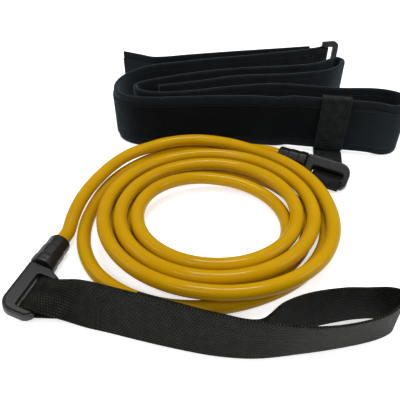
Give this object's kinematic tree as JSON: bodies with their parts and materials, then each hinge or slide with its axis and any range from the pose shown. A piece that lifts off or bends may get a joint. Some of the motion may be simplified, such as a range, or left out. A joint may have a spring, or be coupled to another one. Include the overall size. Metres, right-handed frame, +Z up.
{
  "type": "swim resistance belt",
  "caption": "Swim resistance belt: a folded black waist belt and a black hand strap on swivel rings, joined by a coiled yellow elastic tube.",
  "frame": {"origin": "on the floor, under the middle of the belt, straps and connectors", "axes": "+Z up; +Y from the hand strap in front to the waist belt at the back; +X to the right of the picture"},
  "size_m": [0.306, 0.3482, 0.0548],
  "materials": {
    "tube": "glossy",
    "plastic": "satin",
    "webbing": "matte",
    "belt": "matte",
    "pile": "matte",
    "thread": "matte"
  },
  "bodies": {
    "tubing": {"tube_coil": "tube", "front_lead": "tube", "rear_lead": "tube", "front_socket": "plastic", "rear_socket": "plastic", "front_tube_end": "tube", "rear_tube_end": "tube", "front_tube_plug": "plastic", "rear_tube_plug": "plastic"},
    "front_ring": {"front_ring": "plastic", "front_swivel_pin": "plastic"},
    "hand_strap": {"hand_strap": "webbing", "hand_strap_tack": "thread"},
    "rear_ring": {"rear_ring": "plastic", "rear_swivel_pin": "plastic"},
    "slider": {"slider_webbing": "webbing", "slider_bar_tack": "thread"},
    "belt": {"waist_belt": "belt", "pile_strip": "pile", "belt_flap": "belt", "hook_patch": "pile", "end_ring_tab": "webbing", "end_ring_tab_tack": "thread"},
    "belt_end_ring": {"belt_end_ring": "plastic"}
  },
  "joints": [
    {"name": "front_swivel", "type": "hinge", "parent": "tubing", "child": "front_ring", "pos_m": [-0.13619, -0.10854, 0.0088], "axis": [-0.284, -0.9588, 0], "continuous": true},
    {"name": "hand_strap_turn", "type": "hinge", "parent": "front_ring", "child": "hand_strap", "pos_m": [-0.13066, -0.13067, 0.00569], "axis": [-0.284, -0.9588, 0], "range_deg": [-90, 60]},
    {"name": "rear_swivel", "type": "hinge", "parent": "tubing", "child": "rear_ring", "pos_m": [0.05951, 0.00686, 0.01198], "axis": [0.866, -0.5, 0], "range_deg": [-35, 30]},
    {"name": "slider_turn", "type": "hinge", "parent": "rear_ring", "child": "slider", "pos_m": [0.07161, -0.01148, 0.0051], "axis": [0.866, -0.5, 0], "range_deg": [-25, 0]},
    {"name": "belt_slide", "type": "slide", "parent": "slider", "child": "belt", "axis": [0.9849, -0.173, 0], "range_m": [-0.02, 0.02]},
    {"name": "end_ring_turn", "type": "hinge", "parent": "belt", "child": "belt_end_ring", "pos_m": [0.10271, 0.16946, 0.028], "axis": [0, 0, 1], "range_deg": [-120, 120]}
  ]
}
